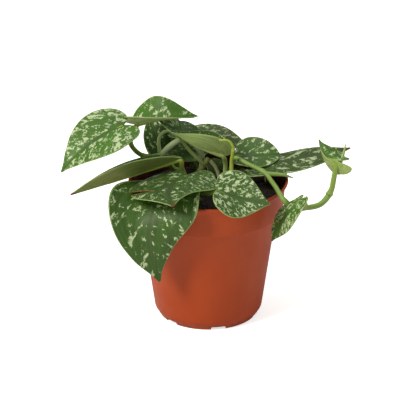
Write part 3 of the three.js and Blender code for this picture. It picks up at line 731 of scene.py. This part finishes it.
# base is where the petiole meets the blade; face is how the upper side looks, in degrees round from the
# front and up; fold and curl bend the left and right halves; bow, sway and lean arch the midrib and twist
# turns it; lobes lengthen the left and right lobe; path is the petiole. tone is how fresh, how silvery and
# how brown the upper side is, under how olive the lower side, dry how brown the tip, splash how small the
# silver marks
leaves = {
    "left_high": {
        "base": (-54, -11, 135.3), "tip": (-94, -29, 110.3), "width": 39, "face": (-24, 53),
        "fold": (15, 9), "curl": (-10, -9), "bow": 6, "lobes": (0.8, 0.8),
        "path": [(-36, 8, 104), (-39, 8, 105), (-44, 6, 108), (-49, 1, 115), (-52, -7, 126)],
        "tone": (0.95, 0.31, 0), "splash": 0.95, "stalk": (0.1, 0.45, 0.25),
    },
    "top_folded": {
        "base": (-47, 4, 129.8), "tip": (-7, 11, 132.8), "width": 36, "face": (-3, 60), "fold": (8, 60),
        "curl": (10, 0), "bow": 6, "twist": 30, "sway": -4, "lobes": (0.6, 0.6),
        "path": [(-33, 8, 106), (-38, 11, 104.5), (-45, 11, 106.5), (-50, 8, 114), (-50, 6, 122)],
        "tone": (1, 0.24, 0), "under": -0.2, "stalk": (0.1, 0.5, 0.1), "dry": 1,
    },
    "left_long": {
        "outline": "lance", "base": (-17, -8, 111), "tip": (-88, -35, 97), "width": 39,
        "face": (1, 114), "fold": (39, 33), "curl": (-26, -10), "bow": -1, "twist": 15, "sway": -6,
        "path": [(-12, 4, 78), (-15, 0, 95), (-17, -5, 103)], "tone": (0.3, 0.12, 0), "under": 0.75,
        "stalk": (0.2, 0.7, 0), "dry": 3,
    },
    "front_drooping": {
        "base": (-24, -24, 98.5), "tip": (-31, -49.5, 42.5), "width": 60, "face": (-31, 31),
        "fold": (1, -5), "curl": (-3, 56), "bow": 21.5, "lean": -4.3, "twist": -56, "sway": -0.8,
        "path": [(-16, -4, 78), (-18, -10, 90), (-21, -18, 95.5)], "tone": (0.3, 0.19, 0),
        "waves": 0.035, "lobes": (0.3, 1.3), "splash": 0.68, "stalk": (0, 0, 0.2),
    },
    "front_rim": {
        "base": (-15, -21, 104.6), "tip": (-22, -71, 104.6), "width": 60, "face": (-24, 68),
        "fold": (20, 6), "curl": (-50, -28), "bow": 1, "twist": -6, "sway": -6,
        "path": [(-12, -2, 78), (-13, -10, 93.6), (-14, -16, 99.6)], "tone": (0.12, 0.21, 0),
        "splash": 1.0, "stalk": (0, 0, 0.2), "dry": 1, "tear": (0.56, 0.3),
    },
    "centre_folded": {
        "base": (10, 4, 108), "tip": (-23, -8, 129), "width": 27, "face": (0, 88), "fold": (66, 60),
        "bow": -2, "twist": 18, "lobes": (0.6, 0.6), "path": [(12, 9, 78), (11, 8, 93), (11, 6, 102)],
        "tone": (0.6, 0.2, 0), "under": -0.35, "stalk": (0.7, 0.35, 0),
    },
    "small_centre": {
        "base": (-18, 9, 124.4), "tip": (-32, -1, 134.4), "width": 20, "face": (0, 60), "fold": (10, 8),
        "curl": (2, 7), "twist": 10, "sway": 2, "stalkRadius": 1.15,
        "path": [(-3, 6, 100.4), (-6, 5, 104.4), (-13, 5, 112.4), (-18, 6, 119.4)],
        "tone": (0.8, 0.32, 0), "splash": 1.5, "stalk": (0.2, 0, 0.35), "groove": 0.6,
    },
    "back_brown": {
        "base": (-14, 35, 105), "tip": (27, 38, 99), "width": 30, "face": (0, 68), "fold": (1, 8),
        "curl": (-16, 0), "bow": 4, "twist": 10, "sway": 3,
        "path": [(-10, 32, 89), (-12, 34, 94), (-15, 35, 101)], "tone": (0.15, 0.3, 0.3), "splash": 1.2,
        "dry": 1,
    },
    "back_top": {
        "base": (-24, 20, 119), "tip": (-2, 24, 115), "width": 18, "face": (0, 65), "fold": (0, 8),
        "curl": (-10, 0), "bow": 2, "twist": 8,
        "path": [(-31, 8, 107), (-32, 10, 111), (-32, 12, 117), (-29, 15, 120)], "tone": (0.3, 0.2, 0),
        "stalkRadius": 1.25, "stalk": (0.6, 0.1, 0),
    },
    "back_left": {
        "base": (-26, 22.5, 100), "tip": (-38, 32.5, 126), "width": 23, "face": (8, 39),
        "fold": (17, 8), "curl": (10, 0), "bow": 2, "twist": -10, "sway": 3,
        "path": [(-20, 20, 78), (-23, 22.5, 89), (-25, 22.5, 95)], "tone": (0.2, 0.24, 0),
        "splash": 1.2,
    },
    "back_middle": {
        "base": (-23, 19, 105.3), "tip": (0, 24, 102.3), "width": 18, "face": (0, 54), "fold": (8, 12),
        "curl": (0, 5), "bow": 2, "twist": 6, "sway": -2,
        "path": [(-14, 14, 78), (-19, 19, 91.3), (-22, 19, 99.3)], "tone": (0.15, 0.18, 0),
    },
    "right_round": {
        "outline": "round", "base": (18, 20, 101.4), "tip": (47, 17, 103.4), "width": 27,
        "face": (19, 56), "fold": (8, 16), "curl": (1, 18), "bow": 1, "twist": 25, "sway": -1,
        "lobes": (0.3, 0.3), "path": [(12, 18, 78), (14, 23, 89.4), (17, 21, 96.4)],
        "tone": (0.4, 0.25, 0), "splash": 0.95,
    },
    "right_long": {
        "base": (27, 11, 97.1), "tip": (93, 22, 106.1), "width": 38, "face": (-1, 76), "fold": (-6, 3),
        "curl": (-30, 20), "bow": 1, "twist": 6, "sway": -2, "lobes": (0.5, 0.5),
        "path": [(23, 15, 78), (23, 14, 87.1), (25, 12, 93.1)], "tone": (0.1, 0.27, 0.1),
        "splash": 0.65, "dry": 1,
    },
    "inner_right": {
        "base": (21, 9, 91.5), "tip": (20, 12, 98.5), "width": 9, "face": (10, 30), "fold": (5, 5),
        "path": [(23, 7, 78), (22, 8, 87)], "tone": (0.1, 0.1, 0.6), "stalk": (0, 0, 0.5),
    },
    "inner_middle": {
        "base": (7, 15, 93), "tip": (-2, 15, 101), "width": 12, "face": (0, 40), "fold": (8, 8),
        "path": [(6, 16, 78), (7, 16, 88)], "tone": (0.2, 0.1, 0.2), "stalk": (0, 0, 0.3),
    },
    "vine_tip": {
        "base": (83, -8, 109), "tip": (72, 9, 117.3), "width": 24, "face": (22, 57), "fold": (-84, 13),
        "curl": (-42, -44), "bow": -3.5, "twist": -33, "sway": 2,
        "path": [(78, -12, 87), (80, -10, 91), (81, -8.5, 96), (82, -8, 102)], "tone": (0.95, 0.3, 0),
        "stalkRadius": 1.75, "turned": True, "lobes": (3.4, 1.7), "under": 0.15, "stalk": (0.1, 0.3, 0),
    },
    "vine_hanging": {
        "base": (59, -37, 94.7), "tip": (41, -37, 65.7), "width": 21.6, "face": (-41, 43),
        "fold": (5, -10), "curl": (15, -23), "bow": 4.7, "twist": -40, "sway": 1.5,
        "lobes": (0.75, 0.75), "path": [(61, -23, 83), (62, -28, 86), (62, -33, 90)],
        "tone": (0.9, 0.34, 0), "splash": 1.7, "stalk": (0.15, 0.2, 0), "dry": 3,
    },
    "front_heart": {
        "base": (6, -47, 104.7), "tip": (39, -51, 97.7), "width": 36, "face": (16, 54), "fold": (8, 16),
        "curl": (4, -10), "bow": -2, "twist": 25, "lobes": (0.6, 0.6),
        "path": [(-2, -6, 78), (-9, -20, 89.7), (-6, -32, 96.7), (0, -41, 100.7)],
        "tone": (0.3, 0.32, 0), "splash": 1.05, "stalk": (0, 0, 0.2),
    },
}

# what a leaf has where it says nothing else
plainLeaf = {
    "outline": "heart", "fold": (0, 0), "curl": (0, 0), "bow": 0, "sway": 0, "lean": 0, "twist": 0,
    "lobes": (1, 1), "waves": 0, "turned": False, "tear": None, "under": 0.1, "splash": 1, "dry": 0,
    "stalk": (0.1, 0.05, 0.1), "stalkRadius": 1.5, "groove": 0.18,
}

# ripple is the height of slow waves, rimWave how many and how high they are at the margin, quilting the
# height of the skin between side veins; blades whose half width is under smallHalf have less of each
bladeMake = {
    "rows": 60, "columns": 44, "thickness": 0.55, "ripple": 0.35, "rimWave": (11, 0.6), "quilting": 0.12,
    "smallHalf": 18, "lobeCurve": 1.5, "tornLip": 0.2, "tornDrop": 1.2,
}


def outlineAt(points, share):
    # a smooth curve through the outline's points
    spot = min(max(share, 0.0), 1.0) * (len(points) - 1)
    i = min(int(spot), len(points) - 2)
    f = spot - i
    near = [points[max(0, min(len(points) - 1, k))] for k in (i - 1, i, i + 1, i + 2)]
    return [
        0.5 * (2 * b + (c - a) * f + (2 * a - 5 * b + 4 * c - d) * f * f + (3 * b - a - 3 * c + d) * f ** 3)
        for a, b, c, d in zip(*near)]


def bladeSheet(leaf):
    # the bent sheet of a leaf: from a share of its length and millimetres left of the midrib to a point and
    # the way out of the upper side
    start = Vector(leaf["base"])
    chord = Vector(leaf["tip"]) - start
    turn, up = (math.radians(v) for v in leaf["face"])
    upper = Vector((math.sin(turn) * math.cos(up), -math.cos(turn) * math.cos(up), math.sin(up)))
    forward = chord.normalized()
    upper = (upper - forward * upper.dot(forward)).normalized()
    left = upper.cross(forward)
    arch = upper * leaf["bow"] + left * leaf["sway"] + forward * leaf["lean"]
    half, twist = leaf["width"] / 2, math.radians(leaf["twist"])

    def sheet(along, across):
        rise = 4 * along if along < 0 else 4 * along * (1 - along)
        point = start + chord * along + arch * rise
        tangent = (chord + arch * 4 * (1 - 2 * max(along, 0))).normalized()
        normal = (upper - tangent * upper.dot(tangent)).normalized()
        normal.rotate(Matrix.Rotation(twist * (min(max(along, -0.2), 1) - 0.3), 3, tangent))
        side = normal.cross(tangent)
        hand, which = (-1, 1) if across < 0 else (1, 0)
        fold, bend = math.radians(leaf["fold"][which]), math.radians(leaf["curl"][which]) + 1e-5
        angle = fold + bend * abs(across) / half
        point += side * (hand * half / bend * (math.sin(angle) - math.sin(fold)))
        point -= normal * (half / bend * (math.cos(angle) - math.cos(fold)))
        return point, normal * math.cos(angle) - side * (hand * math.sin(angle))

    return sheet


def makeBlade(name, leaf, seed):
    sheet = bladeSheet(leaf)
    points = outlines[leaf["outline"]]
    half = leaf["width"] / 2
    length = (Vector(leaf["tip"]) - Vector(leaf["base"])).length
    size = min(1, half / bladeMake["smallHalf"])
    waveCount, waveHeight = bladeMake["rimWave"]
    bm = bmesh.new()
    layers = {key: bm.verts.layers.float_vector.new(key) for key in ("blade", "flat", "tone", "under")}
    bmesh.ops.create_grid(bm, x_segments=bladeMake["rows"], y_segments=bladeMake["columns"], size=0.5)
    for vert in bm.verts:
        share, side = vert.co.x + 0.5, vert.co.y * 2
        aside = abs(side)
        edgeAlong, edgeAcross = outlineAt(points, share)
        if edgeAlong < 0:
            edgeAlong *= leaf["lobes"][0 if side > 0 else 1]
        along = share + (edgeAlong - share) * aside ** bladeMake["lobeCurve"]
        waves = 1 + leaf["waves"] * math.sin(share * 19 + 1.2 * seed) * aside ** 4
        across = side * edgeAcross * half * waves
        point, out = sheet(along, across)
        slow = noise.noise(Vector((along * 2.6, side * 1.4, seed * 3.3)))
        wave = aside ** 3 * math.sin(along * waveCount + seed) * waveHeight + slow
        swept = share - veinRun["sweep"] * aside ** veinRun["curve"]
        vein = math.cos(2 * math.pi * veinRun["count"] * swept)
        quilt = vein * bladeMake["quilting"] * min(1, 4 * aside) * (1 - aside)
        vert.co = (point + out * (wave * bladeMake["ripple"] - quilt) * size) * mm
        vert[layers["blade"]] = (share, side, leaf["dry"])
        vert[layers["flat"]] = (along * length / 10, across / 10, seed * 5.13)
        vert[layers["tone"]] = leaf["tone"]
        vert[layers["under"]] = (leaf["under"], 0, leaf["splash"])
    if leaf["turned"]:
        # the left half is turned over and shows its lower side
        for face in bm.faces:
            face.material_index = 1 if all(v[layers["blade"]][1] > -0.01 for v in face.verts) else 0
    if leaf["tear"]:
        tearBlade(bm, leaf, layers)
    blade = finishPiece(bm, "blade_" + name, [leafTop, leafUnder, leafEdge], ["leaf_" + name])
    skin = blade.modifiers.new("thickness", "SOLIDIFY")
    skin.thickness, skin.offset = bladeMake["thickness"] * mm, 0
    skin.use_rim = True
    skin.material_offset, skin.material_offset_rim = 1, 2
    return sheet


def tearBlade(bm, leaf, layers):
    # splits the right half from the margin inwards and lets the lower lip drop
    at, reach = leaf["tear"]
    key, lip, drops, near = layers["blade"], bladeMake["tornLip"], bladeMake["tornDrop"], 1e-3
    row = min({round(v[key][0], 4) for v in bm.verts}, key=lambda share: abs(share - at))
    splits = {v for v in bm.verts if abs(v[key][0] - row) < near and v[key][1] < near - reach}
    torn = [e for e in bm.edges if all(v in splits for v in e.verts)]
    bmesh.ops.split_edges(bm, edges=torn)
    for vert in bm.verts:
        share, side, _ = vert[key]
        pull = max(0.0, (-side - reach) / (1 - reach))
        onRow = abs(share - row) < near
        below = onRow and all(f.calc_center_median().y < vert.co.y for f in vert.link_faces)
        if onRow and pull and not below:
            vert.co += Vector((0, 0.3, 0.5)) * pull * mm
        elif below or row < share < row + lip:
            drop = pull * (1 - (share - row) / lip)
            vert.co += Vector((drops * drop * drop, -drops * drop, -drop)) * mm
        if onRow:
            vert[layers["under"]] = (leaf["under"], min(1, pull * 5), leaf["splash"])


# ridge gives, at shares of the blade, how far under it the petiole runs on as the midrib; foot and neck are
# the height and length of the swellings at its ends, ridgeRadius what is left of it on the blade
stalkMake = {
    "ridge": ((0.02, 0.9), (0.1, 0.65), (0.25, 0.5), (0.45, 0.42), (0.65, 0.38)), "foot": (0.35, 0.06),
    "neck": (0.15, 0.07), "taper": 0.12, "ridgeRadius": (0.76, 0.2), "ridgeTaper": 2.2,
}


def lengthOf(points):
    return sum((Vector(b) - Vector(a)).length for a, b in zip(points, points[1:]))


def makeStalk(name, leaf, sheet):
    # the petiole, which runs on under the blade as its midrib
    ridge = []
    for share, sunk in stalkMake["ridge"]:
        point, out = sheet(share, 0.0)
        ridge.append(tuple(point - out * sunk))
    points = leaf["path"] + ridge
    turn = 1 - lengthOf(ridge) / lengthOf(points)  # the share at which it meets the blade
    radius = leaf["stalkRadius"]
    (foot, footLength), (neck, neckLength) = stalkMake["foot"], stalkMake["neck"]
    ridgeStart, ridgeEnd = stalkMake["ridgeRadius"]

    def radiusAt(share):
        if share < turn:
            swell = foot * math.exp(-(share / footLength) ** 2)
            swell += neck * math.exp(-((share - turn) / neckLength) ** 2)
            return radius * (1.05 - stalkMake["taper"] * share / turn + swell)
        left = max(0.0, 1 - (share - turn) / (1 - turn))
        return radius * ridgeStart * left ** stalkMake["ridgeTaper"] + ridgeEnd

    bm = sweep(points, radiusAt, leaf["stalk"], leaf["groove"])
    finishPiece(bm, "stalk_" + name, [stemSkin], ["petiole_" + name])


for seed, (name, own) in enumerate(leaves.items(), 1):
    leaf = {**plainLeaf, **own}
    makeStalk(name, leaf, makeBlade(name, leaf, seed))
print("leaves grown", len(leaves))


# what a shoot has where it says nothing else
plainShoot = {"knots": (), "skin": youngSkin, "slot": "young_growth"}

# young growth, an aerial root and an old sheath
shoots = {
    "shoot_young": {
        "path": [
            (14, 0, 78), (15, -2, 96), (15, -2, 106), (15.5, -3, 111), (16, -4, 117), (13, -5, 122),
            (7, -6, 123)],
        "radius": (1.5, 0.6), "knots": (0.72,), "tone": (0.1, 0.95, 0),
    },
    "shoot_node": {
        "path": [(37, -9, 101), (42, -9, 100.5), (48, -9, 100), (52, -8, 98.5), (55, -7, 97)],
        "radius": (1.5, 0.3), "tone": (0.2, 0.15, 0),
    },
    "shoot_vine_tip": {
        "path": [(81, -7, 98), (84, -3, 102), (87, 0, 109), (89, 2, 117)], "radius": (1.5, 0.3),
        "tone": (0.6, 0.4, 0),
    },
    "bud_left": {
        "path": [(-16, -4, 102), (-20, -6, 103), (-22, -7, 104.5), (-23, -8, 107)],
        "radius": (1.1, 0.7), "tone": (0.5, 0.5, 0),
    },
    "aerial_root": {
        "path": [(37, -9, 100), (37, -10, 95.5)], "radius": (0.8, 0.4), "tone": (0, 0, 1),
        "skin": drySkin, "slot": "dry_growth",
    },
    "sheath_old": {
        "path": [(1, 10, 102), (4, 9, 99), (6, 8, 95), (7, 6, 91)], "radius": (1.3, 0.9),
        "tone": (0.9, 0, 0.45), "skin": drySkin, "slot": "dry_growth",
    },
}

for name, own in shoots.items():
    shoot = {**plainShoot, **own}
    bm = sweep(shoot["path"], swollen(*shoot["radius"], shoot["knots"]), shoot["tone"])
    finishPiece(bm, name + "_skin", [shoot["skin"]], [name])
print("shoots grown")


# each light has its place, size and power
studio = {
    "floor": "#f2f1ef", "floorSize": 6, "floorGlow": 0.68, "sky": (1.0, 0.985, 0.94), "skyStrength": 0.26,
    "key": ((-0.95, -0.8, 1.1), 0.5, 19), "keyTint": (1.0, 0.95, 0.86), "fill": ((1.0, -0.7, 0.7), 1.2, 2),
    "top": ((0.0, 0.3, 1.5), 1.4, 7), "aim": (0, 0, 0.08),
}


def addLight(name, setting, colour=(1, 1, 1)):
    place, size, power = setting
    lamp = bpy.data.lights.new(name, "AREA")
    lamp.shape, lamp.size, lamp.energy, lamp.color = "DISK", size, power, colour
    holder = bpy.data.objects.new(name, lamp)
    bpy.context.collection.objects.link(holder)
    holder.location = place
    holder.rotation_euler = (Vector(studio["aim"]) - Vector(place)).to_track_quat("-Z", "Y").to_euler()


def makeStudio():
    bm = bmesh.new()
    bmesh.ops.create_grid(bm, x_segments=2, y_segments=2, size=studio["floorSize"])
    mesh = bpy.data.meshes.new("floor")
    bm.to_mesh(mesh)
    bm.free()
    floor = bpy.data.objects.new("floor", mesh)
    bpy.context.collection.objects.link(floor)
    material, tree, shader = newMaterial("paleFloor", Roughness=0.9)
    shader.inputs["Base Color"].default_value = tint(studio["floor"])
    # seen straight on, the floor glows a little so that it stays pale round the pot
    seen = newNode(tree, "ShaderNodeLightPath").outputs["Is Camera Ray"]
    shader.inputs["Emission Color"].default_value = (1, 1, 1, 1)
    tree.links.new(maths(tree, "MULTIPLY", seen, studio["floorGlow"]), shader.inputs["Emission Strength"])
    mesh.materials.append(material)
    world = bpy.data.worlds.new("studio")
    world.use_nodes = True
    back = world.node_tree.nodes["Background"]
    back.inputs["Color"].default_value = (*studio["sky"], 1)
    back.inputs["Strength"].default_value = studio["skyStrength"]
    bpy.context.scene.world = world
    addLight("key", studio["key"], studio["keyTint"])
    addLight("fill", studio["fill"])
    addLight("top", studio["top"])


view = {"elevation": 23.4, "distance": 2000, "lens": 261.3, "target": (-0.23, 26.5, 61.3)}


def makeCamera():
    lens = bpy.data.cameras.new("camera")
    lens.lens, lens.sensor_width = view["lens"], 36
    lens.clip_start, lens.clip_end = 0.1, 20
    camera = bpy.data.objects.new("camera", lens)
    bpy.context.collection.objects.link(camera)
    tilt = math.radians(view["elevation"])
    back = Vector((0, -math.cos(tilt), math.sin(tilt)))
    camera.location = (Vector(view["target"]) + back * view["distance"]) * mm
    camera.rotation_euler = (math.pi / 2 - tilt, 0, 0)
    bpy.context.scene.camera = camera


makeStudio()
makeCamera()
bpy.context.scene.view_settings.view_transform = "Standard"
print("studio lit")
